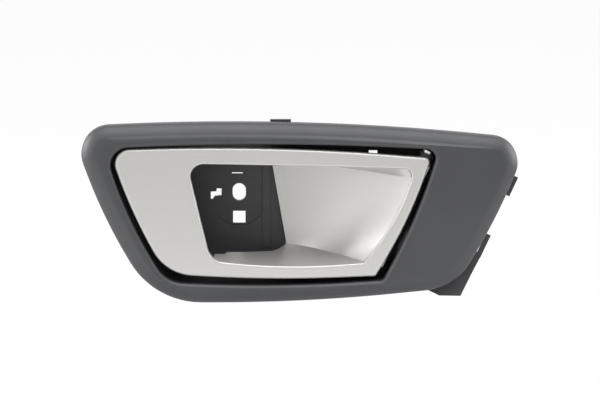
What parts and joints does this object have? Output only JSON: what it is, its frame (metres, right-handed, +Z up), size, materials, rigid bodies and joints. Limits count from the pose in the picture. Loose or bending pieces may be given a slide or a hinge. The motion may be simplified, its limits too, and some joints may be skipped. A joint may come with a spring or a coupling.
{
  "type": "car interior door handle",
  "caption": "Left-to-right car interior door handle: satin silver pull lever with a finger bowl, hinged on a slanted pin in a black housing under a grey bezel.",
  "frame": {"origin": "centre of the fixing screw's slot, on the plane of the housing's rear seat", "axes": "+Y into the door, so the lever faces -Y; +Z up; +X to the right as seen by the person who pulls the lever, towards the hinged end"},
  "size_m": [0.2022, 0.042, 0.0849],
  "materials": {
    "housing_black": "moulded glass-filled plastic, fine matt texture",
    "bezel_grey": "dark grey plastic with a fine moulded grain, low sheen",
    "silver_paint": "satin silver paint with fine flake over plastic",
    "steel": "bright zinc plate",
    "spring_steel": "darkened spring steel",
    "natural_plastic": "unpainted low-friction plastic",
    "rubber_black": "soft matt rubber",
    "felt_grey": "needled felt"
  },
  "bodies": {
    "base": {"housing": "housing_black", "bezel": "bezel_grey", "hinge_pin": "steel", "pin_clip": "spring_steel", "return_spring": "spring_steel", "bump_stop_upper": "rubber_black", "bump_stop_lower": "rubber_black", "open_stop": "rubber_black", "bezel_screw_left": "steel", "bezel_screw_upper": "steel", "bezel_screw_lower": "steel", "trim_clip_left": "spring_steel", "trim_clip_top": "spring_steel", "trim_clip_right": "spring_steel", "trim_clip_bottom": "spring_steel", "cable_clip": "natural_plastic", "rattle_pad_left": "felt_grey", "rattle_pad_right": "felt_grey"},
    "handle": {"lever": "silver_paint", "upper_bush": "natural_plastic", "lower_bush": "natural_plastic"}
  },
  "joints": [
    {"name": "lever_hinge", "type": "hinge", "parent": "base", "child": "handle", "pos_m": [0.07721, -0.0256, 0], "axis": [0.4194, 0, 0.9078], "range_deg": [0, 24], "stiffness_Nm_per_rad": 0.3, "springref_deg": -28.65, "deforming": ["return_spring"]}
  ]
}
